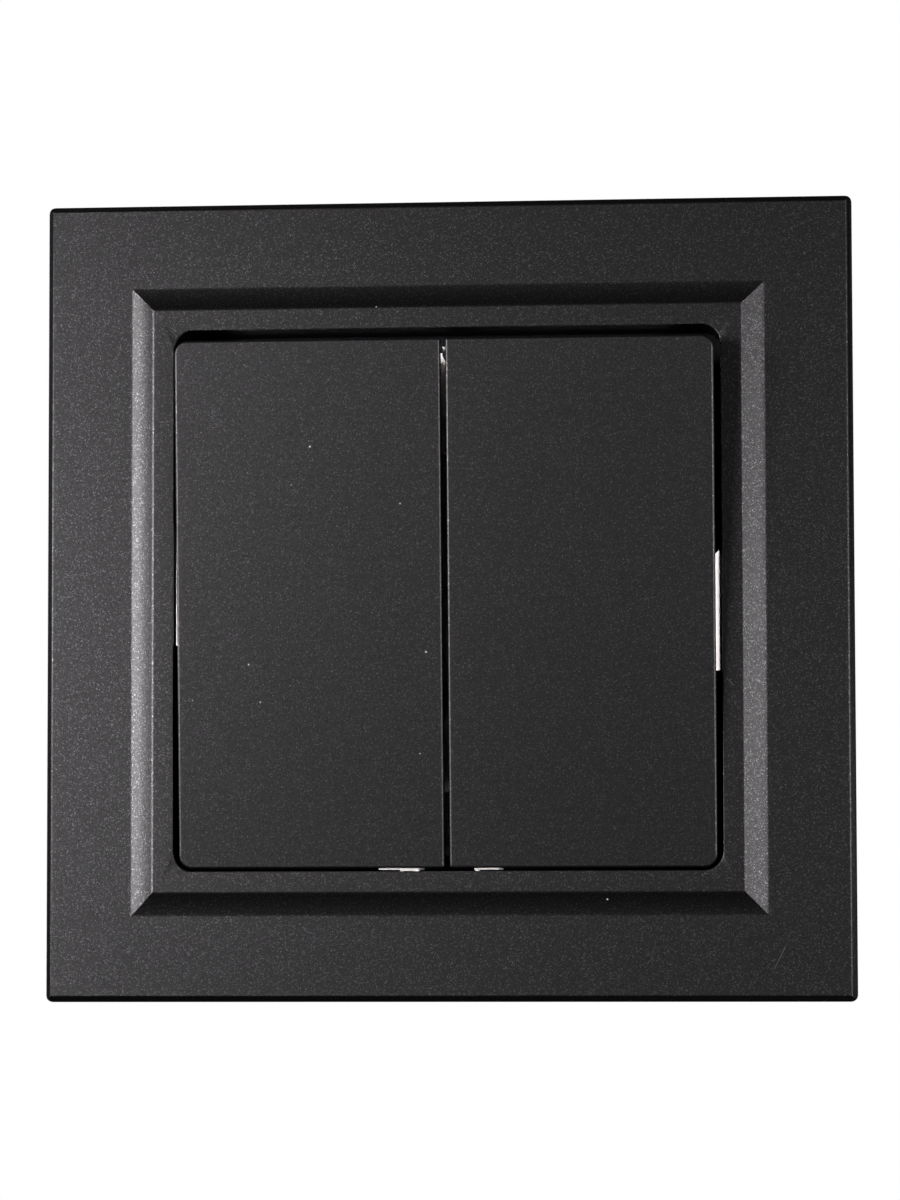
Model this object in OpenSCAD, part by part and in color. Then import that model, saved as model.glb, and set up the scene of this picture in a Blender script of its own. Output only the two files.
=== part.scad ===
// Flush two-gang rocker wall switch for a 60 mm wall box.
// +Z is up, -Y faces the room, and the wall's surface is the plane y = 0.
// The origin is the centre of the switch on the wall's surface.

/* [Cover frame] */
// Overall width of the cover frame
frame_w = 81.7; // [78:0.1:90]
// Overall height of the cover frame
frame_h = 80.9; // [78:0.1:90]
// Distance from the wall to the frame's flat outer face
frame_depth = 9.0; // [8:0.1:10]
// Height of the raised inner rim above the flat outer face
rim_rise = 1.2; // [0.6:0.1:1.4]
// Width of the opening for the rockers
opening_w = 55.26; // [55:0.02:55.6]
// Height of the opening for the rockers
opening_h = 54.7; // [54.5:0.02:55.6]
// Corner radius of the opening
opening_r = 2.0; // [1.6:0.1:2.4]
// Wall thickness of the frame
frame_wall = 1.7; // [1.4:0.1:2]

/* [Rockers] */
// Width of one rocker cap
rocker_w = 26.75; // [26:0.05:26.8]
// Height of a rocker cap
rocker_h = 53.0; // [52:0.1:53]
// Gap between the two rocker caps
rocker_gap = 0.55; // [0.4:0.05:0.7]
// How far the caps stand in front of the rim at mid height, halfway through the travel
cap_proud = 2.0; // [1.8:0.1:2.4]
// Tilt to either side of the middle position
tilt = 4.5; // [3:0.1:4.5]

/* [Support ring] */
// Side of the square steel ring
ring_size = 71; // [70:0.5:73]
// Sheet thickness of the ring
ring_t = 1.0; // [0.8:0.1:1]
// Distance between opposite box screws
fixing_pitch = 60; // [59.5:0.5:60.5]
// Overall length of a fixing slot
slot_len = 4.4; // [4.2:0.1:5]
// Radius of a fixing slot's ends
slot_r = 1.8; // [1.6:0.1:2]

/* [Housing] */
// Width of the box-shaped housing behind the ring
housing_w = 38; // [38:0.1:38.4]
// Height of the housing
housing_h = 43; // [42.6:0.1:43.4]
// Depth of the housing behind the wall's surface
housing_d = 22; // [21.8:0.1:26]
// Wall thickness of the housing
housing_wall = 1.4; // [1.2:0.1:1.5]

/* [Hidden] */
$fn = 48;

// Cover frame
bevel_w = 0.6;
bevel_d = 0.9;
edge_r = 0.7;
cove_w = 2.07;
rim_w = 2.15;
cove_foot = 18;
cove_r = norm([cove_w, rim_rise]) / (2 * sin(atan2(rim_rise, cove_w) - cove_foot));
rim_y = -frame_depth - rim_rise;
collar_t = 1.5;
collar_back = -3.5;
rib_t = 1.0;

// Rocker caps, drawn in the middle position and then tilted
gang_x = (rocker_gap + rocker_w) / 2;
axis_y = -3.9;
cap_y = rim_y - cap_proud;
cap_t = 1.4;
cap_r = 1.3;
cap_bevel = 0.3;
skirt_t = 1.1;
skirt_d = 2.4;
skirt_inset = 0.6;
leg_z = 4.0;
leg_t = 1.2;

// Toggle, plunger and spring
toggle_half = 7.0;
axle_r = 1.55;
axle_end = 9.2;
lever_r = 3.0;
hub_r = 2.6;
lever_end = 4.0;
bore_r = 1.95;
bore_floor = -7.5;
plunger_r = 1.87;
tip_r = 1.6;
tip_y = 7.1;
spring_r = 1.15;
spring_wire = 0.2;
spring_coils = 8;
spring_y0 = bore_floor;
spring_y1 = 3.5;

// Rocking contact arms
pivot_y = 10.8;
arm_tilt = 6;
arm_half = 2.8;
arm_reach = 9;
arm_front = -2.0;
arm_rear = -1.1;
fulcrum_r = 1.0;
rivet_z = -7;
rivet_r = 1.4;
rivet_h = 0.8;
contact_gap = 0.05;

// Terminals
bar_y0 = 13.2;
bar_y1 = 14.2;
block_half = 3.8;
block_y1 = 20.2;
block_z = 15.5;
block_zh = 3.5;
wire_z = 15.0;
wire_r = 1.8;
entry_r = 2.1;
term_screw_r = 1.2;
term_y = (bar_y1 + block_y1) / 2;

// Carrier
plate_y0 = -3.2;
plate_y1 = -ring_t;
plate_hw = 22.8;
plate_hh = 25.6;
lug_in = 7.3;
lug_out = 9.0;
web_y = -5;
clip_t = 1.45;
clip_half = 6;
clip_shift = -1;
side_clip_shift = -1.45;
side_clip_x = 27.45;
side_clip_y = -9.7;
low_clip_z = 27.2;
low_clip_y = -8.2;
carrier_screw = [15.5, 17];

// Claws
claw_z = 8;
hinge_x = 21.6;
hinge_y = 4.4;
hinge_r = 1.0;
claw_screw_x = 25.1;
claw_screw_r = 1.5;
claw_screw_end = 10.5;
claw_in = 3.0;
claw_out = 4.0;
nut_y0 = 6.05;
nut_t = 2.5;
nut_half = 2.4;

// Extrudes an outline drawn in x and z from y0 back to y1
module xz(y0, y1) {
    translate([0, y1, 0]) rotate([90, 0, 0]) linear_extrude(y1 - y0) children();
}

// Extrudes an outline drawn in y and z from x0 to x1
module yz(x0, x1) {
    translate([x0, 0, 0]) rotate([90, 0, 90]) linear_extrude(x1 - x0) children();
}

// Extrudes an outline drawn in x and y from z0 up to z1
module xy(z0, z1) {
    translate([0, 0, z0]) linear_extrude(z1 - z0) children();
}

// Box between two corners
module box(a, b) {
    translate(a) cube(b - a);
}

// Cylinders along x, y and z, from one end to the other, at the place given
module rod_x(r, x0, x1, y, z) {
    translate([x0, y, z]) rotate([0, 90, 0]) cylinder(h = x1 - x0, r = r);
}

module rod_y(r, y0, y1, x, z) {
    translate([x, y1, z]) rotate([90, 0, 0]) cylinder(h = y1 - y0, r = r);
}

module rod_z(r, z0, z1, x, y) {
    translate([x, y, z0]) cylinder(h = z1 - z0, r = r);
}

// Rectangle with round corners, centred
module rounded(w, h, r) {
    square([w - 2 * r, h], center = true);
    square([w, h - 2 * r], center = true);
    for (sx = [-1, 1], sz = [-1, 1])
        translate([sx * (w / 2 - r), sz * (h / 2 - r)]) circle(r);
}

// Outline of a block whose front edges are bevelled, width against y
module bevelled_outline(w, front, back, bw, bd) {
    polygon([[-w / 2, back], [-w / 2, front + bd], [-w / 2 + bw, front],
             [w / 2 - bw, front], [w / 2, front + bd], [w / 2, back]]);
}

// Outline of the raised rim with its hollow coves, width against y
module cove_outline(w) {
    difference() {
        translate([-w / 2, rim_y]) square([w, rim_rise + 0.8]);
        for (s = [-1, 1])
            translate([s * (w / 2 + cove_r * sin(cove_foot)), -frame_depth - cove_r * cos(cove_foot)])
                circle(cove_r);
    }
}

// ---- Cover frame ----

module raised_rim() {
    w = opening_w + 2 * (rim_w + cove_w);
    h = opening_h + 2 * (rim_w + cove_w);
    intersection() {
        xy(-h / 2, h / 2) cove_outline(w);
        yz(-w / 2, w / 2) rotate(-90) cove_outline(h);
    }
}

module frame_shell() {
    difference() {
        intersection() {
            xy(-frame_h / 2, frame_h / 2)
                bevelled_outline(frame_w, -frame_depth, 0, bevel_w, bevel_d);
            yz(-frame_w / 2, frame_w / 2) rotate(-90)
                bevelled_outline(frame_h, -frame_depth, 0, bevel_w, bevel_d);
            xz(-frame_depth - 1, 1) rounded(frame_w, frame_h, edge_r);
        }
        xz(-frame_depth + frame_wall, 1)
            rounded(frame_w - 2 * frame_wall, frame_h - 2 * frame_wall, edge_r);
    }
}

// Stiffening ribs between the collar and the outer wall
module frame_ribs() {
    reach = frame_w / 2 - frame_wall / 2;
    for (a = [0 : 90 : 270], s = [-1, 1])
        rotate([0, a, 0])
            box([opening_w / 2 + 0.5, -frame_depth + 0.5, s * 17 - rib_t / 2],
                [reach - 0.4, collar_back, s * 17 + rib_t / 2]);
}

module cover_frame() {
    color("#2d2c2f") difference() {
        union() {
            frame_shell();
            raised_rim();
            frame_ribs();
            xz(-frame_depth + 0.5, collar_back)
                rounded(opening_w + 2 * collar_t, opening_h + 2 * collar_t, opening_r + 1);
        }
        xz(rim_y - 1, 1) rounded(opening_w, opening_h, opening_r);
        for (a = [0, 90, 180])
            rotate([0, a, 0])
                box([opening_h / 2 - 1, -7.4, clip_shift - 5],
                    [opening_w / 2 + 0.6, -5.8, clip_shift + 5]);
    }
}

// ---- Rockers ----

// Turns a part about the rocker axis into its rest position, lower end pressed in
module at_rest() {
    translate([0, axis_y, 0]) rotate([tilt, 0, 0]) translate([0, -axis_y, 0]) children();
}

module cap_outline() {
    intersection() {
        rounded(2 * rocker_w + rocker_gap, rocker_h, cap_r);
        translate([rocker_gap / 2, -rocker_h / 2]) square([rocker_w, rocker_h]);
    }
}

module cap_plate() {
    intersection() {
        xz(cap_y, cap_y + cap_t) cap_outline();
        xy(-rocker_h / 2, rocker_h / 2)
            bevelled_outline(2 * rocker_w + rocker_gap, cap_y, cap_y + cap_t,
                             cap_bevel, cap_bevel);
        yz(0, rocker_w + rocker_gap) rotate(-90)
            bevelled_outline(rocker_h, cap_y, cap_y + cap_t, cap_bevel, cap_bevel);
    }
}

// Stiffening skirt behind the plate, left open where the carrier's clips stand
module cap_skirt() {
    y0 = cap_y + cap_t - 0.2;
    y1 = cap_y + cap_t + skirt_d;
    x0 = rocker_gap / 2 + 0.75;
    x1 = rocker_gap / 2 + rocker_w - skirt_inset;
    z1 = rocker_h / 2 - skirt_inset;
    box([x0, y0, -z1 + 1], [x0 + 0.9, y1, z1 - 1]);
    for (s = [-1, 1]) {
        translate([0, 0, s * (z1 + 8) / 2])
            box([x1 - skirt_t, y0, (8 - z1) / 2], [x1, y1, (z1 - 8) / 2]);
        translate([0, 0, s * (z1 - skirt_t / 2)])
            box([8, y0, -skirt_t / 2], [x1, y1, skirt_t / 2]);
    }
}

// Pair of snap legs that grip the toggle
module cap_legs() {
    for (s = [0, 180])
        translate([gang_x, 0, 0]) rotate([0, s, 0]) {
            box([-4, cap_y + cap_t - 0.2, leg_z], [4, -6.2, leg_z + leg_t]);
            box([-4, -7.0, leg_z - 0.5], [4, -6.2, leg_z + 0.2]);
        }
}

module rocker() {
    at_rest() {
        cap_plate();
        cap_skirt();
        cap_legs();
    }
}

module rocker_right() {
    color("#333235") rocker();
}

module rocker_left() {
    color("#333235") mirror([1, 0, 0]) rocker();
}

// ---- Toggles, plungers and springs ----

module toggle() {
    at_rest() difference() {
        union() {
            box([gang_x - toggle_half, cap_y + cap_t, -leg_z],
                [gang_x + toggle_half, axis_y, leg_z]);
            rod_x(hub_r, gang_x - toggle_half, gang_x + toggle_half, axis_y, 0);
            rod_x(axle_r, gang_x - axle_end, gang_x + axle_end, axis_y, 0);
            rod_y(lever_r, axis_y, lever_end, gang_x, 0);
        }
        rod_y(bore_r, bore_floor, lever_end + 1, gang_x, 0);
        for (s = [0, 180])
            translate([gang_x, 0, 0]) rotate([0, s, 0])
                box([-4.1, -7.05, leg_z - 0.55], [4.1, -6.15, leg_z + 1]);
    }
}

module toggle_right() {
    color("#e9e7e1") toggle();
}

module toggle_left() {
    color("#e9e7e1") mirror([1, 0, 0]) toggle();
}

module plunger() {
    at_rest() {
        difference() {
            rod_y(plunger_r, -0.5, 5.5, gang_x, 0);
            rod_y(1.5, -1, spring_y1, gang_x, 0);
        }
        rod_y(tip_r, 5.4, tip_y, gang_x, 0);
        translate([gang_x, tip_y, 0]) sphere(tip_r);
    }
}

module plunger_right() {
    color("#d9b65a") plunger();
}

module plunger_left() {
    color("#d9b65a") mirror([1, 0, 0]) plunger();
}

// Round wire swept along a helix whose axis is y
module coil_spring(y0, y1, r, wire, coils) {
    sides = 6;
    per_turn = 14;
    steps = coils * per_turn;
    rise = y1 - y0 - 2 * wire;
    points = [for (i = [0 : steps], k = [0 : sides - 1])
        let (a = 360 * i / per_turn, b = 360 * k / sides, q = r + wire * cos(b))
        [q * cos(a), y0 + wire + rise * i / steps + wire * sin(b), q * sin(a)]];
    skin = [for (i = [0 : steps - 1], k = [0 : sides - 1])
        let (n = (k + 1) % sides, p = i * sides)
        [p + k, p + n, p + sides + n, p + sides + k]];
    start = [[for (k = [0 : sides - 1]) sides - 1 - k]];
    finish = [[for (k = [0 : sides - 1]) steps * sides + k]];
    polyhedron(points, concat(skin, start, finish));
}

module spring() {
    at_rest() translate([gang_x, 0, 0])
        coil_spring(spring_y0, spring_y1, spring_r, spring_wire, spring_coils);
}

module spring_right() {
    color("silver") spring();
}

module spring_left() {
    color("silver") mirror([1, 0, 0]) spring();
}

// ---- Carrier ----

// Upright clip that holds the cover frame's collar, on the right-hand side, its top inner corner cut off
module clip(root, edge, front, shift) {
    top = shift + clip_half;
    box([root, plate_y0, top - 2 * clip_half], [edge, plate_y1, top - 1.6]);
    xz(front, plate_y1) polygon([
        [edge - clip_t, top - 2 * clip_half], [edge, top - 2 * clip_half],
        [edge, top], [edge - 0.15, top], [edge - clip_t, top - clip_t + 0.15]
    ]);
    box([edge - 0.5, -7.1, shift - 4], [edge + 0.35, -6.1, shift + 4]);
}

// Plate, bearing lugs, middle web with its posts, and the clips, before anything is cut
module carrier_solid() {
    xz(plate_y0, plate_y1) rounded(2 * plate_hw, 2 * plate_hh, 2);
    for (s = [-1, 1], t = [-1, 1])
        translate([s * gang_x + t * (lug_in + lug_out) / 2, 0, 0])
            box([(lug_in - lug_out) / 2, -6.4, -3.2], [(lug_out - lug_in) / 2, plate_y1, 3.2]);
    box([-0.5, web_y, -24.6], [0.5, plate_y1, 25.6]);
    box([-0.5, -8.4, 24.6], [0.5, plate_y1, 25.6]);
    box([-0.5, -9.1, 15.1], [0.5, plate_y1, 16.7]);
    box([-0.5, -8.9, -19.4], [0.5, plate_y1, -18.4]);
    for (a = [0, 180]) rotate([0, a, 0]) clip(plate_hw - 1, side_clip_x, side_clip_y, side_clip_shift);
    rotate([0, 90, 0]) clip(plate_hh - 1, low_clip_z, low_clip_y, clip_shift);
}

// Windows, axle bores, screw holes and room for the screw heads
module carrier_cuts() {
    for (s = [-1, 1]) {
        box([s * gang_x - lug_in, -4.2, -6.5], [s * gang_x + lug_in, 0, 6.5]);
        rod_x(axle_r + 0.05, s * gang_x - lug_out - 1, s * gang_x + lug_out + 1, axis_y, 0);
        rod_y(1.3, -5, 0, s * carrier_screw[0], -s * carrier_screw[1]);
        rod_y(2.6, -5, -2.0, s * carrier_screw[0], -s * carrier_screw[1]);
        rod_y(3.2, -5, 0, s * claw_screw_x, s * claw_z);
    }
    for (a = [0 : 90 : 270]) rotate([0, a, 0]) rod_y(3.9, -4.2, 0, fixing_pitch / 2, 0);
    box([-3.1, low_clip_y - 1, -28], [2.6, 0, -25.7]);
}

module carrier() {
    color("#f1efe9") difference() {
        carrier_solid();
        carrier_cuts();
    }
}

module carrier_screws() {
    color("silver") for (s = [-1, 1])
        translate([s * carrier_screw[0], 0, -s * carrier_screw[1]]) difference() {
            union() {
                rod_y(1.2, -2.5, 6, 0, 0);
                rod_y(2.4, -3.2, -2.0, 0, 0);
            }
            box([-1.8, -4, -0.3], [1.8, -2.7, 0.3]);
            box([-0.3, -4, -1.8], [0.3, -2.7, 1.8]);
        }
}

// ---- Support ring ----

// Straight slot through the ring, its length along x
module fixing_slot() {
    run = slot_len / 2 - slot_r;
    rod_y(slot_r, -3, 2, -run, 0);
    rod_y(slot_r, -3, 2, run, 0);
    box([-run, -3, -slot_r], [run, 2, slot_r]);
}

module support_ring() {
    color("#b9bcbe") difference() {
        union() {
            xz(-ring_t, 0) rounded(ring_size, ring_size, 5);
            for (a = [0, 180], t = [-1, 1])
                rotate([0, a, 0])
                    translate([0, 0, claw_z + t * (claw_out + claw_out + 1.6) / 2])
                        box([hinge_x - 2.2, -ring_t, -0.5], [hinge_x + 2.2, hinge_y + 2, 0.5]);
        }
        box([-housing_w / 2 - 0.3, -3, -housing_h / 2 - 0.3],
            [housing_w / 2 + 0.3, 0.01, housing_h / 2 + 0.3]);
        for (a = [0 : 90 : 270])
            rotate([0, a, 0]) translate([fixing_pitch / 2, 0, 0]) fixing_slot();
        for (a = [0, 180]) rotate([0, a, 0]) {
            rod_y(1.6, -3, 1, claw_screw_x, claw_z);
            rod_z(hinge_r, claw_z - 7, claw_z + 7, hinge_x, hinge_y);
        }
    }
}

// ---- Housing ----

module housing() {
    hw = housing_w / 2;
    hh = housing_h / 2;
    in_x = hw - housing_wall;
    in_z = hh - housing_wall;
    back = housing_d - 1.6;
    color("#8d8f90") difference() {
        union() {
            difference() {
                xz(-ring_t, housing_d) rounded(housing_w, housing_h, 1.5);
                box([-in_x, -5, -in_z], [in_x, back, in_z]);
            }
            for (s = [-1, 1]) {
                box([-hw + 3, 0, s * (hh + 0.6) - 0.9], [hw - 3, 2, s * (hh + 0.6) + 0.9]);
                rod_y(2.8, -ring_t, 8, s * carrier_screw[0], -s * carrier_screw[1]);
            }
            box([-0.8, 0, -in_z - 0.2], [0.8, back + 0.2, 9.5]);
            terminal_cradle(0, 1);
            for (s = [-1, 1]) terminal_cradle(s * gang_x, -1);
        }
        for (s = [-1, 1])
            rod_y(1.2, -3, 6, s * carrier_screw[0], -s * carrier_screw[1]);
        box([-2, bar_y0 - 0.3, -3.3], [2, bar_y1 + 0.3, 12]);
        entry_holes(0, 1);
        for (s = [-1, 1]) entry_holes(s * gang_x, -1);
    }
}

// Two ribs that locate a terminal block from inside
module terminal_cradle(x, side) {
    for (t = [-1, 1])
        box([x + t * 2.9 - 0.6, block_y1, side * block_z - 3],
            [x + t * 2.9 + 0.6, housing_d - 1, side * block_z + 3]);
}

// Wire entry through the back wall and screwdriver hole through the side wall
module entry_holes(x, side) {
    rod_y(entry_r, block_y1 - 1, housing_d + 1, x, side * wire_z);
    if (side > 0)
        rod_z(2.6, 19.6, 25, x, term_y);
    else
        rod_z(2.6, -25, -19.6, x, term_y);
}

// ---- Contacts and terminals ----

module common_bar() {
    color("#b8863b") {
        box([-17.2, bar_y0, -3], [17.2, bar_y1, 3]);
        box([-3, bar_y0, 2], [3, bar_y1, block_z + block_zh]);
        for (s = [-1, 1]) {
            rod_x(fulcrum_r, s * gang_x - 3.5, s * gang_x + 3.5, pivot_y, 0);
            for (t = [-1, 1])
                translate([s * gang_x + t * 3.35, 0, 0])
                    box([-0.35, pivot_y - 1.5, -1.5], [0.35, bar_y0 + 0.1, 1.5]);
        }
    }
}

// Turns a part about the arm's pivot; a negative angle opens the contacts
module arm_pose(angle) {
    translate([gang_x, pivot_y, 0]) rotate([angle, 0, 0]) children();
}

module arm() {
    arm_pose(-arm_tilt) difference() {
        union() {
            box([-arm_half, arm_front, -arm_reach], [arm_half, arm_rear, arm_reach]);
            box([-arm_half, arm_front, -2.2], [arm_half, 0.5, 2.2]);
        }
        rod_x(fulcrum_r + 0.05, -4, 4, 0, 0);
    }
}

module arm_right() {
    color("#c98d4a") arm();
}

module arm_left() {
    color("#c98d4a") mirror([1, 0, 0]) arm();
}

module arm_rivet() {
    arm_pose(-arm_tilt) rod_y(rivet_r, arm_rear, arm_rear + rivet_h, 0, rivet_z);
}

module arm_rivet_right() {
    color("#dfe0e0") arm_rivet();
}

module arm_rivet_left() {
    color("#dfe0e0") mirror([1, 0, 0]) arm_rivet();
}

module output_strip() {
    arm_pose(arm_tilt) box([-2.8, 0.8, -10.5], [2.8, 1.6, -5]);
    translate([gang_x, 0, 0])
        box([-3, bar_y0, -block_z - block_zh], [3, bar_y1, -9.4]);
}

module output_right() {
    color("#b8863b") output_strip();
}

module output_left() {
    color("#b8863b") mirror([1, 0, 0]) output_strip();
}

module fixed_rivets() {
    color("#dfe0e0") for (m = [0, 1])
        mirror([m, 0, 0]) arm_pose(arm_tilt)
            rod_y(rivet_r, arm_rear + rivet_h + contact_gap, 0.8, 0, rivet_z);
}

// Brass block with a wire bore and a clamping screw's hole
module terminal_block(x, side) {
    difference() {
        box([x - block_half, bar_y1, side * block_z - block_zh],
            [x + block_half, block_y1, side * block_z + block_zh]);
        rod_y(wire_r, bar_y1 - 1, block_y1 + 1, x, side * wire_z);
        if (side > 0)
            rod_z(term_screw_r, wire_z, 25, x, term_y);
        else
            rod_z(term_screw_r, -25, -wire_z, x, term_y);
    }
}

module terminal_blocks() {
    color("#c9a227") {
        terminal_block(0, 1);
        for (s = [-1, 1]) terminal_block(s * gang_x, -1);
    }
}

// Slotted screw whose head lies in the housing's wall
module terminal_screw() {
    difference() {
        union() {
            rod_z(term_screw_r, 17.0, 19.7, 0, term_y);
            rod_z(2.3, 19.6, 21.2, 0, term_y);
        }
        box([-3, term_y - 0.35, 20.5], [3, term_y + 0.35, 22]);
    }
}

module terminal_screws() {
    color("silver") {
        terminal_screw();
        for (s = [-1, 1]) translate([s * gang_x, 0, 0]) mirror([0, 0, 1]) terminal_screw();
    }
}

// ---- Claws ----

module claw_pins() {
    color("silver") for (a = [0, 180]) rotate([0, a, 0])
        rod_z(hinge_r, claw_z - 5.9, claw_z + 5.9, hinge_x, hinge_y);
}

// Side plate of a claw, outline in x and y about its hinge
module claw_side() {
    circle(2.0);
    translate([-1.2, 0]) square([2.4, 14.4]);
    translate([0, 0.2]) square([5.4, 1.9]);
}

// Bent steel claw for the right-hand side
module claw() {
    translate([hinge_x, hinge_y, claw_z]) difference() {
        union() {
            for (s = [-1, 1]) {
                translate([0, 0, s * (claw_in + claw_out) / 2])
                    xy(-(claw_out - claw_in) / 2, (claw_out - claw_in) / 2) claw_side();
                translate([0, 0, s * 2.425])
                    box([1.8, 0.5, -0.675], [5.2, 1.5, 0.675]);
            }
            box([-1.2, 12.4, -claw_out], [0.2, 14.4, claw_out]);
            for (k = [-1.5 : 1.5])
                translate([0.2, 13.4, k * 2.1]) rotate([0, 90, 0])
                    cylinder(h = 2.0, r1 = 1.0, r2 = 0.2);
        }
        rod_z(hinge_r + 0.05, -6, 6, 0, 0);
    }
}

module claw_right() {
    color("#a9adb0") claw();
}

module claw_left() {
    color("#a9adb0") rotate([0, 180, 0]) claw();
}

// Claw screw with a cross recess; its head lies in front of the ring
module claw_screw() {
    translate([claw_screw_x, 0, claw_z]) difference() {
        union() {
            rod_y(claw_screw_r, -2, claw_screw_end, 0, 0);
            rod_y(2.7, -3.1, -ring_t - 0.05, 0, 0);
        }
        box([-1.9, -4, -0.35], [1.9, -2.1, 0.35]);
        box([-0.35, -4, -1.9], [0.35, -2.1, 1.9]);
    }
}

module claw_screw_right() {
    color("silver") claw_screw();
}

module claw_screw_left() {
    color("silver") rotate([0, 180, 0]) claw_screw();
}

// Square nut that draws the claw's fork forward
module claw_nut() {
    translate([claw_screw_x, 0, claw_z]) difference() {
        box([-nut_half, nut_y0, -nut_half], [nut_half, nut_y0 + nut_t, nut_half]);
        rod_y(claw_screw_r + 0.05, nut_y0 - 1, nut_y0 + nut_t + 1, 0, 0);
    }
}

module claw_nut_right() {
    color("silver") claw_nut();
}

module claw_nut_left() {
    color("silver") rotate([0, 180, 0]) claw_nut();
}

cover_frame();
rocker_left();
rocker_right();
toggle_left();
toggle_right();
plunger_left();
plunger_right();
spring_left();
spring_right();
carrier();
carrier_screws();
support_ring();
housing();
common_bar();
output_left();
output_right();
arm_left();
arm_right();
arm_rivet_left();
arm_rivet_right();
fixed_rivets();
terminal_blocks();
terminal_screws();
claw_pins();
claw_left();
claw_right();
claw_screw_left();
claw_screw_right();
claw_nut_left();
claw_nut_right();
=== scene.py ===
import math
import bmesh
import bpy
from mathutils import Matrix, Vector


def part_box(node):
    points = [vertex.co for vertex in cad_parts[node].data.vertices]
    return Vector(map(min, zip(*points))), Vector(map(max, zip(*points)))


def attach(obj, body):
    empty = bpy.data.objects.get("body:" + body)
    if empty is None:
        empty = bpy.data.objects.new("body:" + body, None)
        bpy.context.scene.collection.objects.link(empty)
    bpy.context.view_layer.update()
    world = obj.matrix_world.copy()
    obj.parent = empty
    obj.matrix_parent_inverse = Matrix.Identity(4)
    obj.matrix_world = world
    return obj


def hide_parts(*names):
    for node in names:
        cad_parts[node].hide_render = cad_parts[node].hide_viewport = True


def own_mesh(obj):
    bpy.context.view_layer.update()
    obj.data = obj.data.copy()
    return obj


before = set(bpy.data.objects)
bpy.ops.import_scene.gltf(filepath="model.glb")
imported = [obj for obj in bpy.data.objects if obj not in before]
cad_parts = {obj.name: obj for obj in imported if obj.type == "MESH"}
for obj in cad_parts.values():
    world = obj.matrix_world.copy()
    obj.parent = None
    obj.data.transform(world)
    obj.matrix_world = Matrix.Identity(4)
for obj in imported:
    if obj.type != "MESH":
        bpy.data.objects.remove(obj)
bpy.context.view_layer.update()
mm = 0.001
print("frame loaded")


# ---- colours and nodes ----

def hexColour(code):
    parts = [int(code[i:i + 2], 16) / 255 for i in (1, 3, 5)]
    return tuple(c / 12.92 if c <= 0.04045 else ((c + 0.055) / 1.055) ** 2.4 for c in parts) + (1.0,)


def addNode(tree, kind, settings=None, links=None):
    node = tree.nodes.new(kind)
    for name, value in (settings or {}).items():
        if isinstance(name, str) and hasattr(node, name):
            setattr(node, name, value)
        else:
            node.inputs[name].default_value = value
    for name, source in (links or {}).items():
        tree.links.new(source, node.inputs[name])
    return node


def newMaterial(name):
    material = bpy.data.materials.new(name)
    material.use_nodes = True
    tree = material.node_tree
    tree.nodes.clear()
    output = addNode(tree, "ShaderNodeOutputMaterial")
    shader = addNode(tree, "ShaderNodeBsdfPrincipled")
    tree.links.new(shader.outputs["BSDF"], output.inputs["Surface"])
    coords = addNode(tree, "ShaderNodeTexCoord")
    return material, tree, shader, coords.outputs["Object"]


# sprayed anthracite lacquer with fine aluminium flake: nearly black away from the light and a soft grey
# sheen towards it, with a dense fine sparkle where single flakes catch the light
frameLacquer = {"colour": "#020202", "flakeSize": 0.08, "level": 0.116, "sparkle": 0.36, "share": 0.13,
                "roughness": 0.42, "ripple": 0.003, "dustSize": 0.42, "dust": 0.0012,
                "scratches": [(33.97, -34.4, 32.36, -37.6, 0.05, 0.35), (27.9, -8.1, 28.9, -9.1, 0.045, 0.4),
                              (18.0, -29.6, 18.35, -30.1, 0.045, 0.3)],
                # the last keys set the painted shade on the walls inside the opening
                "openingWide": 27.68, "openingHigh": 27.4, "reach": (-10.12, -9.95), "paintedShadeShare": 0.03}
capLacquer = {"colour": "#020202", "flakeSize": 0.08, "level": 0.122, "sparkle": 0.3, "share": 0.1,
              "roughness": 0.42, "ripple": 0.0012, "dustSize": 0.42, "dust": 0.0012,
              "scratches": [(9.0, -12.5, 14.5, -19.5, 0.07, 0.035), (13.5, -10.0, 18.0, -16.5, 0.06, 0.03),
                            (17.0, -18.0, 21.5, -22.5, 0.06, 0.04)]}


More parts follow.
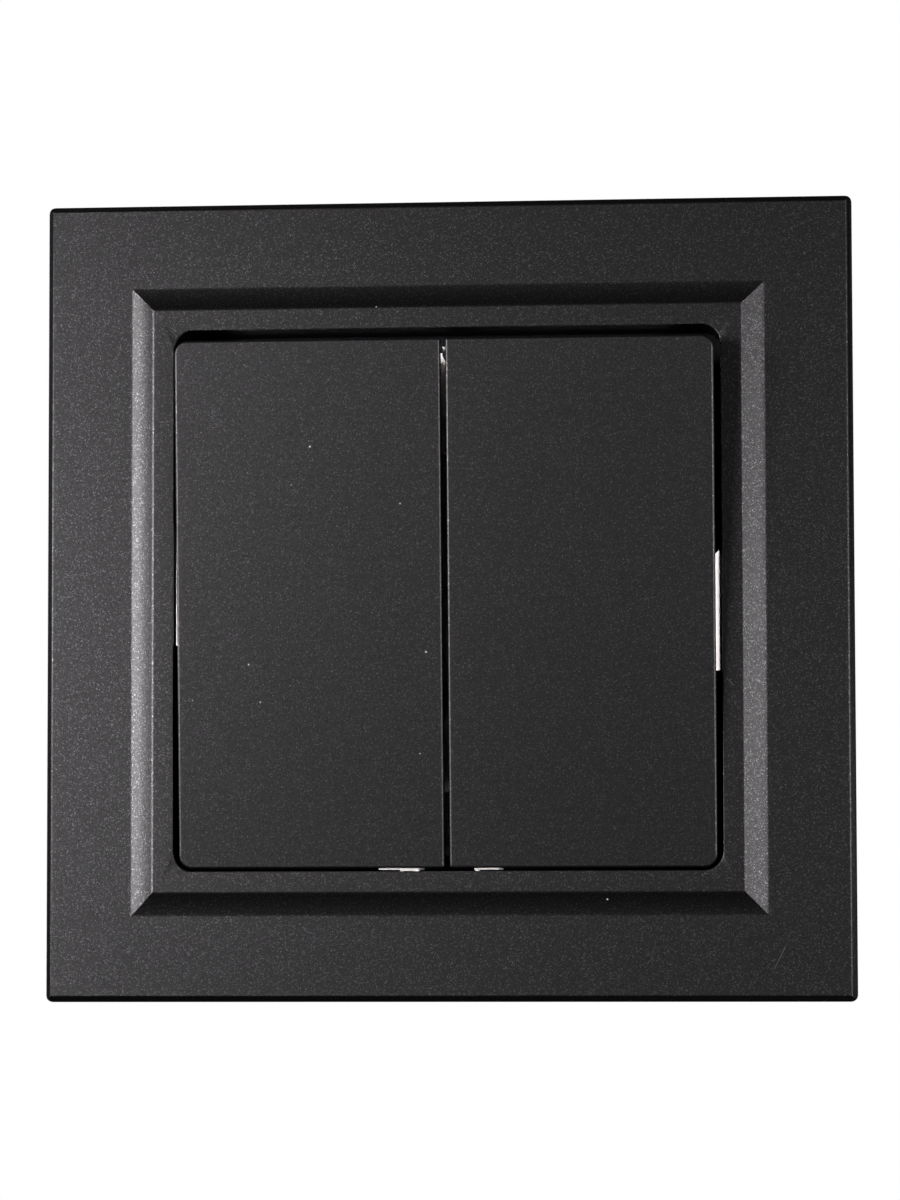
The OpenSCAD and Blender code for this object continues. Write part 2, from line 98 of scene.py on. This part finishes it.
def lacquer(name, look):
    material, tree, shader, place = newMaterial(name)
    flakes = addNode(tree, "ShaderNodeTexVoronoi", {"Scale": 1 / (look["flakeSize"] * mm)}, {"Vector": place})
    value = addNode(tree, "ShaderNodeSeparateColor", {}, {"Color": flakes.outputs["Color"]})
    body = addNode(tree, "ShaderNodeMapRange",
                   {"To Min": 0.66 * look["level"], "To Max": 1.34 * look["level"]},
                   {"Value": value.outputs["Green"]})
    spark = addNode(tree, "ShaderNodeMapRange", {"From Min": 1 - look["share"], "To Max": look["sparkle"]},
                    {"Value": value.outputs["Red"]})
    level = addNode(tree, "ShaderNodeMath", {"operation": "ADD"},
                    {0: body.outputs["Result"], 1: spark.outputs["Result"]})
    # a few specks of dust lie on the paint
    sparse = addNode(tree, "ShaderNodeTexVoronoi", {"Scale": 1 / (look["dustSize"] * mm)}, {"Vector": place})
    pick = addNode(tree, "ShaderNodeSeparateColor", {}, {"Color": sparse.outputs["Color"]})
    rare = addNode(tree, "ShaderNodeMath", {"operation": "GREATER_THAN", 1: 1 - look["dust"]},
                   {0: pick.outputs["Green"]})
    near = addNode(tree, "ShaderNodeMapRange", {"From Min": 0.3, "From Max": 0.1},
                   {"Value": sparse.outputs["Distance"]})
    speck = addNode(tree, "ShaderNodeMath", {"operation": "MULTIPLY"},
                    {0: rare.outputs[0], 1: near.outputs["Result"]})
    colour = addNode(tree, "ShaderNodeMix", {"data_type": "RGBA", 6: hexColour(look["colour"]),
                                             7: hexColour("#6f6e6c")}, {0: speck.outputs[0]})
    tree.links.new(colour.outputs[2], shader.inputs["Base Color"])
    # hairline scratches, brighter where the paint is burnished
    for line in look["scratches"]:
        level = scratch(tree, place, level, *line)
    # painted shade: on the walls inside the opening the specular level falls from full at the rim to a small
    # share a little way in, so these walls stay dark under any light
    if "reach" in look:
        parts = addNode(tree, "ShaderNodeSeparateXYZ", {}, {"Vector": place})
        for axis, edge in (("X", look["openingWide"]), ("Z", look["openingHigh"])):
            size = addNode(tree, "ShaderNodeMath", {"operation": "ABSOLUTE"}, {0: parts.outputs[axis]})
            outside = addNode(tree, "ShaderNodeMath", {"operation": "GREATER_THAN", 1: edge * mm},
                              {0: size.outputs[0]})
            keep = outside if axis == "X" else addNode(tree, "ShaderNodeMath", {"operation": "MAXIMUM"},
                                                       {0: keep.outputs[0], 1: outside.outputs[0]})
        front, shadeDarkest = look["reach"]
        paintedShadeRamp = addNode(tree, "ShaderNodeMapRange",
                       {"From Min": shadeDarkest * mm, "From Max": front * mm, "To Min": look["paintedShadeShare"]},
                       {"Value": parts.outputs["Y"]})
        keep = addNode(tree, "ShaderNodeMath", {"operation": "MAXIMUM"},
                       {0: keep.outputs[0], 1: paintedShadeRamp.outputs["Result"]})
        level = addNode(tree, "ShaderNodeMath", {"operation": "MULTIPLY"},
                        {0: level.outputs[0], 1: keep.outputs[0]})
    tree.links.new(level.outputs[0], shader.inputs["Specular IOR Level"])
    ripple = addNode(tree, "ShaderNodeTexNoise", {"Scale": 1 / (0.3 * mm), "Detail": 2.0}, {"Vector": place})
    bump = addNode(tree, "ShaderNodeBump", {"Strength": 1.0, "Distance": look["ripple"] * mm},
                   {"Height": ripple.outputs["Fac"]})
    tree.links.new(bump.outputs["Normal"], shader.inputs["Normal"])
    shader.inputs["Roughness"].default_value = look["roughness"]
    shader.inputs["IOR"].default_value = 1.5
    return material


def scratch(tree, place, level, x1, z1, x2, z2, wide, bright):
    angle = math.atan2(z2 - z1, x2 - x1)
    turned = addNode(tree, "ShaderNodeMapping", {"vector_type": "TEXTURE"}, {"Vector": place})
    turned.inputs["Location"].default_value = ((x1 + x2) / 2 * mm, 0, (z1 + z2) / 2 * mm)
    turned.inputs["Rotation"].default_value = (0, -angle, 0)
    parts = addNode(tree, "ShaderNodeSeparateXYZ", {}, {"Vector": turned.outputs["Vector"]})
    across = addNode(tree, "ShaderNodeMath", {"operation": "ABSOLUTE"}, {0: parts.outputs["Z"]})
    along = addNode(tree, "ShaderNodeMath", {"operation": "ABSOLUTE"}, {0: parts.outputs["X"]})
    thin = addNode(tree, "ShaderNodeMapRange", {"From Min": wide * mm, "From Max": wide * mm / 3},
                   {"Value": across.outputs[0]})
    half = math.hypot(x2 - x1, z2 - z1) / 2 * mm
    fade = addNode(tree, "ShaderNodeMapRange", {"From Min": half, "From Max": half * 0.5},
                   {"Value": along.outputs[0]})
    mark = addNode(tree, "ShaderNodeMath", {"operation": "MULTIPLY"},
                   {0: thin.outputs["Result"], 1: fade.outputs["Result"]})
    return addNode(tree, "ShaderNodeMath", {"operation": "MULTIPLY_ADD", 1: bright},
                   {0: mark.outputs[0], 2: level.outputs[0]})


# injection-moulded ABS: even colour, soft gloss, very faint ripple
def mouldedPlastic(name, code, roughness, grain=0.02):
    material, tree, shader, place = newMaterial(name)
    ripple = addNode(tree, "ShaderNodeTexNoise", {"Scale": 1 / (0.6 * mm), "Detail": 3.0}, {"Vector": place})
    shade = addNode(tree, "ShaderNodeValToRGB", {}, {"Fac": ripple.outputs["Fac"]})
    base = hexColour(code)
    shade.color_ramp.elements[0].color = tuple(c * 0.93 for c in base[:3]) + (1.0,)
    shade.color_ramp.elements[1].color = base
    tree.links.new(shade.outputs["Color"], shader.inputs["Base Color"])
    bump = addNode(tree, "ShaderNodeBump", {"Strength": 1.0, "Distance": grain * mm},
                   {"Height": ripple.outputs["Fac"]})
    tree.links.new(bump.outputs["Normal"], shader.inputs["Normal"])
    shader.inputs["Roughness"].default_value = roughness
    shader.inputs["IOR"].default_value = 1.53
    return material


# rolled or plated metal: slight colour drift and fine rolling lines along z
def platedMetal(name, code, roughness, lines=0.25):
    material, tree, shader, place = newMaterial(name)
    stretch = addNode(tree, "ShaderNodeMapping", {}, {"Vector": place})
    stretch.inputs["Scale"].default_value = (1 / (lines * mm), 1 / (lines * mm), 1 / (6 * mm))
    rolled = addNode(tree, "ShaderNodeTexNoise", {"Scale": 1.0, "Detail": 3.0},
                     {"Vector": stretch.outputs["Vector"]})
    cloud = addNode(tree, "ShaderNodeTexNoise", {"Scale": 1 / (4 * mm), "Detail": 2.0}, {"Vector": place})
    base = hexColour(code)
    shade = addNode(tree, "ShaderNodeValToRGB", {}, {"Fac": cloud.outputs["Fac"]})
    shade.color_ramp.elements[0].position = 0.3
    shade.color_ramp.elements[1].position = 0.7
    shade.color_ramp.elements[0].color = tuple(c * 0.82 for c in base[:3]) + (1.0,)
    shade.color_ramp.elements[1].color = base
    tree.links.new(shade.outputs["Color"], shader.inputs["Base Color"])
    rough = addNode(tree, "ShaderNodeMapRange", {"To Min": roughness - 0.08, "To Max": roughness + 0.1},
                    {"Value": rolled.outputs["Fac"]})
    tree.links.new(rough.outputs["Result"], shader.inputs["Roughness"])
    bump = addNode(tree, "ShaderNodeBump", {"Strength": 1.0, "Distance": 0.004 * mm},
                   {"Height": rolled.outputs["Fac"]})
    tree.links.new(bump.outputs["Normal"], shader.inputs["Normal"])
    shader.inputs["Metallic"].default_value = 1.0
    return material


frameMaterial = lacquer("anthracite_flake_lacquer_frame", frameLacquer)
capMaterial = lacquer("anthracite_flake_lacquer_rocker", capLacquer)
whiteAbs = mouldedPlastic("white_abs_moulded", "#f4f2ec", 0.35)
greyPolyamide = mouldedPlastic("grey_polyamide_moulded", "#7d8082", 0.55, 0.05)
zincSteel = platedMetal("zinc_plated_steel", "#c3c6c9", 0.34)
blackZinc = platedMetal("black_passivated_steel", "#151617", 0.5)
springSteel = platedMetal("drawn_spring_steel", "#9fa3a8", 0.3)
rolledBrass = platedMetal("rolled_brass", "#d3ab5e", 0.3)
copperStrip = platedMetal("tinned_copper_strip", "#c98c62", 0.32)
silverRivet = platedMetal("silver_contact", "#e6e5e0", 0.25)

nodeMaterials = {
    "cover_frame": frameMaterial, "rocker_left": capMaterial, "rocker_right": capMaterial,
    "toggle_left": whiteAbs, "toggle_right": whiteAbs, "carrier": whiteAbs,
    "plunger_left": rolledBrass, "plunger_right": rolledBrass,
    "spring_left": springSteel, "spring_right": springSteel,
    "carrier_screws": zincSteel, "support_ring": blackZinc, "housing": greyPolyamide,
    "common_bar": rolledBrass, "output_left": rolledBrass, "output_right": rolledBrass,
    "arm_left": copperStrip, "arm_right": copperStrip,
    "arm_rivet_left": silverRivet, "arm_rivet_right": silverRivet, "fixed_rivets": silverRivet,
    "terminal_blocks": rolledBrass, "terminal_screws": zincSteel, "claw_pins": zincSteel,
    "claw_left": zincSteel, "claw_right": zincSteel,
    "claw_screw_left": blackZinc, "claw_screw_right": blackZinc,
    "claw_nut_left": zincSteel, "claw_nut_right": zincSteel,
}
for nodeName, material in nodeMaterials.items():
    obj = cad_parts[nodeName]
    obj.data.materials.clear()
    obj.data.materials.append(material)
print("materials made")


# ---- modelling helpers ----

def startBox(name, low, high):
    bpy.ops.object.select_all(action="DESELECT")
    size = [high[i] - low[i] for i in range(3)]
    centre = [(high[i] + low[i]) / 2 for i in range(3)]
    bpy.ops.mesh.primitive_cube_add(size=1, location=centre, scale=size)
    piece = bpy.context.object
    piece.name = name
    bpy.ops.object.transform_apply(location=True, rotation=True, scale=True)
    bpy.ops.object.mode_set(mode="EDIT")
    bpy.ops.mesh.select_all(action="DESELECT")
    return piece


def pickFaces(piece, test):
    bpy.ops.mesh.select_mode(type="FACE")
    bpy.ops.mesh.select_all(action="DESELECT")
    mesh = bmesh.from_edit_mesh(piece.data)
    for face in mesh.faces:
        face.select_set(test(face.calc_center_median(), face.normal))
    bmesh.update_edit_mesh(piece.data)


def pickEdges(piece, test):
    bpy.ops.mesh.select_mode(type="EDGE")
    bpy.ops.mesh.select_all(action="DESELECT")
    mesh = bmesh.from_edit_mesh(piece.data)
    for edge in mesh.edges:
        edge.select_set(test(edge.verts[0].co, edge.verts[1].co, edge))
    bmesh.update_edit_mesh(piece.data)


def inset(thickness, depth=0.0):
    bpy.ops.mesh.inset(thickness=thickness, depth=depth, use_even_offset=True, use_boundary=True)


def pushFaces(x, y, z):
    bpy.ops.mesh.extrude_region_move(TRANSFORM_OT_translate={"value": (x, y, z)})


def near(a, b):
    return abs(a - b) < 0.02 * mm


def finishPiece(piece, material, body, slotName, *nodes):
    bpy.ops.mesh.select_all(action="SELECT")
    bpy.ops.mesh.normals_make_consistent(inside=False)
    bpy.ops.object.mode_set(mode="OBJECT")
    bpy.ops.object.select_all(action="DESELECT")
    piece.select_set(True)
    bpy.context.view_layer.objects.active = piece
    bpy.ops.object.shade_smooth_by_angle(angle=math.radians(32))
    # flat faces keep flat shading right up to their rounded arrises
    bpy.ops.object.modifier_add(type="WEIGHTED_NORMAL")
    bpy.context.object.modifiers[-1].keep_sharp = True
    bpy.context.object.modifiers[-1].weight = 100
    bpy.ops.object.modifier_apply(modifier=bpy.context.object.modifiers[-1].name)
    piece.data.materials.clear()
    piece.data.materials.append(material)
    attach(piece, body)
    if nodes:
        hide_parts(*nodes)
    return piece


# ---- cover frame ----

coverFrame = {"bevelWidth": 0.6 * mm, "bevelDepth": 0.9 * mm, "rise": 1.2 * mm,
              "coveWidth": 2.4 * mm, "coveFoot": 13,
              "rimWidth": 2.15 * mm, "wall": 1.7 * mm, "collarWall": 1.5 * mm, "collarBack": -3.5 * mm,
              "openingWide": 55.26 * mm, "openingHigh": 54.7 * mm, "openingRadius": 2.0 * mm,
              "outerRadius": 0.7 * mm, "coveSteps": 12, "arris": 0.15 * mm,
              "ribAt": (-17, 17), "ribWide": 1 * mm, "ribStart": 0.6 * mm, "ribInWall": 0.5 * mm,
              "ribBack": 1 * mm, "ribEdge": 0.15 * mm}


def buildCoverFrame(size):
    low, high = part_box("cover_frame")
    faceY = low.y + size["rise"]
    piece = startBox("coverFrame", (low.x, faceY + size["bevelDepth"], low.z), high)
    halfW, halfH = high.x, high.z
    openW, openH = size["openingWide"] / 2, size["openingHigh"] / 2
    footW = openW + size["rimWidth"] + size["coveWidth"]
    footH = openH + size["rimWidth"] + size["coveWidth"]
    # front: bevelled edge, flat border, hollow cove, raised rim
    pickFaces(piece, lambda c, n: n.y < -0.9)
    inset(size["bevelWidth"], size["bevelDepth"])
    border = halfW - size["bevelWidth"] - footW
    inset(border)
    bpy.ops.transform.resize(value=(1, 1, footH / (halfH - size["bevelWidth"] - border)))
    slope = math.atan2(size["rise"], size["coveWidth"])
    foot = math.radians(size["coveFoot"])
    radius = math.hypot(size["rise"], size["coveWidth"]) / (2 * math.sin(slope - foot))
    for step in range(size["coveSteps"]):
        a, b = (foot + 2 * (slope - foot) * part / size["coveSteps"] for part in (step, step + 1))
        inset(radius * (math.sin(b) - math.sin(a)), radius * (math.cos(a) - math.cos(b)))
    inset(size["rimWidth"])
    # back: hollow behind the border, then the collar round the opening
    pickFaces(piece, lambda c, n: n.y > 0.9)
    inset(size["wall"])
    pushFaces(0, faceY + size["wall"], 0)
    channel = halfW - size["wall"] - openW - size["collarWall"]
    inset(channel)
    bpy.ops.transform.resize(value=(1, 1, (openH + size["collarWall"]) / (halfH - size["wall"] - channel)))
    pushFaces(0, size["collarBack"] - faceY - size["wall"], 0)
    inset(size["collarWall"])
    # the opening runs through from the rim to the back of the collar
    pickFaces(piece, lambda c, n: abs(n.y) > 0.9 and abs(c.x) < openW / 2 and abs(c.z) < openH / 2)
    bpy.ops.mesh.bridge_edge_loops()
    along = lambda a, b: abs(a.y - b.y) > 3 * mm and (a - b).xz.length < 0.3 * mm
    pickEdges(piece, lambda a, b, e: along(a, b) and near(abs(a.x), openW) and near(abs(a.z), openH))
    bpy.ops.mesh.bevel(offset=size["openingRadius"], segments=8, affect="EDGES")
    pickEdges(piece, lambda a, b, e: along(a, b) and near(abs(a.x), halfW) and near(abs(a.z), halfH))
    bpy.ops.mesh.bevel(offset=size["outerRadius"], segments=5, affect="EDGES")
    # sharp arrises of the border, the rim and the opening are broken by the paint
    sharp = lambda e: len(e.link_faces) == 2 and e.calc_face_angle(0) > math.radians(24)
    level = lambda a, b: abs(a.y - b.y) < 0.005 * mm
    pickEdges(piece, lambda a, b, e: sharp(e) and level(a, b) and a.y < faceY + size["bevelDepth"] + 0.1 * mm)
    bpy.ops.mesh.bevel(offset=size["arris"], segments=3, affect="EDGES", clamp_overlap=True)
    # mitres of the cove and the bevel stay crisp
    slanted = lambda a, b: min(abs(a.x - b.x), abs(a.y - b.y), abs(a.z - b.z)) > 0.01 * mm
    pickEdges(piece, lambda a, b, e: slanted(a, b) and a.y < faceY + size["bevelDepth"]
              and abs(abs(a.x - b.x) - abs(a.z - b.z)) < 0.004 * mm and abs(a.x) < footW + 0.01 * mm)
    bpy.ops.mesh.mark_sharp()
    return piece


def ribSpots(size):
    low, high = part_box("cover_frame")
    faceY = low.y + size["rise"]
    openW, openH = size["openingWide"] / 2, size["openingHigh"] / 2
    front, back = faceY + size["ribBack"], size["collarBack"]
    for side in (-1, 1):
        for at in size["ribAt"]:
            for upright in (False, True):
                start = (openH if upright else openW) + size["ribStart"]
                end = (high.z if upright else high.x) - size["wall"] + size["ribInWall"]
                a, b = sorted((side * start, side * end))
                left, right = at * mm - size["ribWide"] / 2, at * mm + size["ribWide"] / 2
                lowest = (left, front, a) if upright else (a, front, left)
                highest = (right, back, b) if upright else (b, back, right)
                yield lowest, highest


coverPiece = buildCoverFrame(coverFrame)
finishPiece(coverPiece, frameMaterial, "base", "frame_lacquer", "cover_frame")
for number, (lowest, highest) in enumerate(ribSpots(coverFrame)):
    rib = startBox("frameRib%d" % (number + 1), lowest, highest)
    bpy.ops.mesh.select_all(action="SELECT")
    bpy.ops.mesh.bevel(offset=coverFrame["ribEdge"], segments=2, affect="EDGES")
    finishPiece(rib, frameMaterial, "base", "frame_lacquer")
print("cover frame made", len(coverPiece.data.polygons))


# ---- rocker caps ----

rockerCap = {"thick": 1.4 * mm, "skirt": 2.4 * mm, "inset": 0.6 * mm, "skirtWall": 1.1 * mm,
             "corner": 1.3 * mm, "innerCorner": 0.25 * mm, "edge": 0.3 * mm, "backEdge": 0.1 * mm,
             "gap": 0.55 * mm,
             "wide": 26.75 * mm, "high": 53.0 * mm, "faceY": -12.2 * mm, "axisY": -3.9 * mm,
             "tilt": 4.5}


def restTilt(size):
    axis = Matrix.Translation((0, size["axisY"], 0))
    return axis @ Matrix.Rotation(math.radians(size["tilt"]), 4, "X") @ axis.inverted()


def buildCap(name, side, size):
    gap, wide, tall = size["gap"] / 2, size["wide"], size["high"] / 2
    backY = size["faceY"] + size["thick"]
    piece = startBox(name, (gap, size["faceY"], -tall), (gap + wide, backY, tall))
    # hollow skirt behind the plate
    pickFaces(piece, lambda c, n: n.y > 0.9)
    inset(size["inset"])
    pushFaces(0, size["skirt"], 0)
    inset(size["skirtWall"])
    pushFaces(0, -size["skirt"], 0)
    along = lambda a, b: near(a.x, b.x) and near(a.z, b.z)
    pickEdges(piece, lambda a, b, e: along(a, b) and near(a.x, gap + wide) and near(abs(a.z), tall))
    bpy.ops.mesh.bevel(offset=size["corner"], segments=8, affect="EDGES")
    pickEdges(piece, lambda a, b, e: along(a, b) and near(a.x, gap) and near(abs(a.z), tall))
    bpy.ops.mesh.bevel(offset=size["innerCorner"], segments=3, affect="EDGES")
    # rounded front arris, and a finer one behind it on the three outer sides
    at = lambda y, a, b, e: near(a.y, y) and near(b.y, y) and e.calc_face_angle(0) > 0.5
    pickEdges(piece, lambda a, b, e: at(size["faceY"], a, b, e))
    bpy.ops.mesh.bevel(offset=size["edge"], segments=4, affect="EDGES", clamp_overlap=True)
    pickEdges(piece, lambda a, b, e: at(backY, a, b, e)
              and (max(abs(a.z), abs(b.z)) > tall - 0.1 * mm or max(a.x, b.x) > gap + wide - 0.1 * mm))
    bpy.ops.mesh.bevel(offset=size["backEdge"], segments=2, affect="EDGES", clamp_overlap=True)
    bpy.ops.object.mode_set(mode="OBJECT")
    piece.data.transform(restTilt(size))
    if side < 0:
        piece.data.transform(Matrix.Scale(-1, 4, (1, 0, 0)))
    bpy.ops.object.mode_set(mode="EDIT")
    return piece


for side, word in ((-1, "left"), (1, "right")):
    cap = buildCap("rockerCap_" + word, side, rockerCap)
    finishPiece(cap, capMaterial, "rocker_" + word, "cap_lacquer", "rocker_" + word)
print("rocker caps made")


# ---- springs inside the toggles ----

toggleSpring = {"radius": 1.15 * mm, "wire": 0.2 * mm, "coils": 8, "start": -7.5 * mm, "end": 3.5 * mm,
                "keep": 0.92}


def buildSpring(name, centreX, size):
    bpy.ops.mesh.primitive_circle_add(vertices=10, radius=size["wire"], location=(size["radius"], 0, 0))
    piece = bpy.context.object
    piece.name = name
    bpy.ops.object.transform_apply(location=True, rotation=True, scale=True)
    bpy.ops.object.modifier_add(type="SCREW")
    coil = piece.modifiers[-1]
    coil.axis = "Y"
    coil.angle = math.tau
    coil.iterations = size["coils"]
    coil.steps = coil.render_steps = 28
    coil.screw_offset = (size["end"] - size["start"] - 2 * size["wire"]) / size["coils"]
    bpy.ops.object.modifier_apply(modifier=coil.name)
    lowest = min(v.co.y for v in piece.data.vertices)
    piece.data.transform(Matrix.Translation((centreX, size["start"] - lowest, 0)))
    piece.data.transform(restTilt(rockerCap))
    bpy.ops.object.mode_set(mode="EDIT")
    bpy.ops.mesh.select_all(action="SELECT")
    bpy.ops.mesh.fill_holes(sides=12)
    return piece


for word in ("left", "right"):
    low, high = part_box("spring_" + word)
    spring = buildSpring("toggleSpring_" + word, (low.x + high.x) / 2, toggleSpring)
    finishPiece(spring, springSteel, "rocker_" + word, "spring_steel", "spring_" + word)
    # the plunger presses it against the bottom of its bore
    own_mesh(spring)
print("springs made")


# ---- stage, lights and camera ----

studio = {"floorZ": -1.3, "floorWide": 4, "floorGlow": 0.95, "shade": 0.004,
          "camera": 0.45, "lens": 134.13, "aim": (0.268, -8.967, -0.13)}


def areaLight(name, place, aim, wide, tall, power, tint="#ffffff"):
    light = bpy.data.lights.new(name, "AREA")
    light.shape = "RECTANGLE"
    light.size, light.size_y, light.energy = wide, tall, power
    light.color = hexColour(tint)[:3]
    holder = bpy.data.objects.new(name, light)
    holder.location = place
    holder.visible_camera = False
    holder.rotation_mode = "QUATERNION"
    holder.rotation_quaternion = (Vector(aim) - Vector(place)).to_track_quat("-Z", "Y")
    bpy.context.scene.collection.objects.link(holder)


bpy.ops.object.select_all(action="DESELECT")
bpy.ops.mesh.primitive_plane_add(size=studio["floorWide"], location=(0, 0.5, studio["floorZ"]))
floor = bpy.context.object
floor.name = "paleFloor"
floorMaterial = mouldedPlastic("pale_paper_floor", "#eeeeec", 0.8)
floor.data.materials.append(floorMaterial)
# the paper glows evenly, as if lit from all round, and the dark lacquer doesn't mirror it
paper = floorMaterial.node_tree.nodes["Principled BSDF"]
paper.inputs["Emission Color"].default_value = hexColour("#eeeeec")
paper.inputs["Emission Strength"].default_value = studio["floorGlow"]
floor.visible_glossy = floor.visible_diffuse = False

areaLight("softboxLeft", (-0.245, -0.26, 0.022), (-0.03, 0, 0), 0.2, 0.08, 6.3, "#fffaff")
areaLight("sideLeft", (-0.42, -0.157, 0.0), (-0.03, 0, 0), 0.28, 0.1, 1.6, "#fffbff")
areaLight("softboxRight", (0.4, -0.2, 0.0), (0.03, 0, 0), 0.36, 0.1, 4.0, "#fffaff")
areaLight("accentRight", (0.262, -0.348, 0.0), (0.027, 0, 0), 0.07, 0.08, 1.85, "#fffaff")
areaLight("backFill", (-0.1, 0.75, 0.1), (0, 0, 0), 0.5, 0.4, 3.5)

world = bpy.data.worlds.new("whiteStudio")
bpy.context.scene.world = world
world.use_nodes = True
world.node_tree.nodes.clear()
worldOut = addNode(world.node_tree, "ShaderNodeOutputWorld")
seen = addNode(world.node_tree, "ShaderNodeLightPath")
strength = addNode(world.node_tree, "ShaderNodeMapRange", {"To Min": studio["shade"], "To Max": 1.0},
                   {"Value": seen.outputs["Is Camera Ray"]})
sky = addNode(world.node_tree, "ShaderNodeBackground", {}, {"Strength": strength.outputs["Result"]})
world.node_tree.links.new(sky.outputs["Background"], worldOut.inputs["Surface"])
sky.inputs["Color"].default_value = (1, 1, 1, 1)

bpy.context.scene.view_settings.view_transform = "Standard"
cameraData = bpy.data.cameras.new("camera")
cameraData.lens = studio["lens"]
cameraData.sensor_width = 36
camera = bpy.data.objects.new("camera", cameraData)
# the camera looks from a little to the right and below, rolled slightly
right = Vector((0.99621, 0.08699, -0.00209))
up = Vector((0.00817, -0.06957, 0.99754))
back = Vector((0.08663, -0.99378, -0.07001))
place = Vector(studio["aim"]) * mm + back * studio["camera"]
camera.matrix_world = Matrix.Translation(place) @ Matrix((right, up, back)).transposed().to_4x4()
bpy.context.scene.collection.objects.link(camera)
bpy.context.scene.camera = camera
print("stage, lights and camera made")
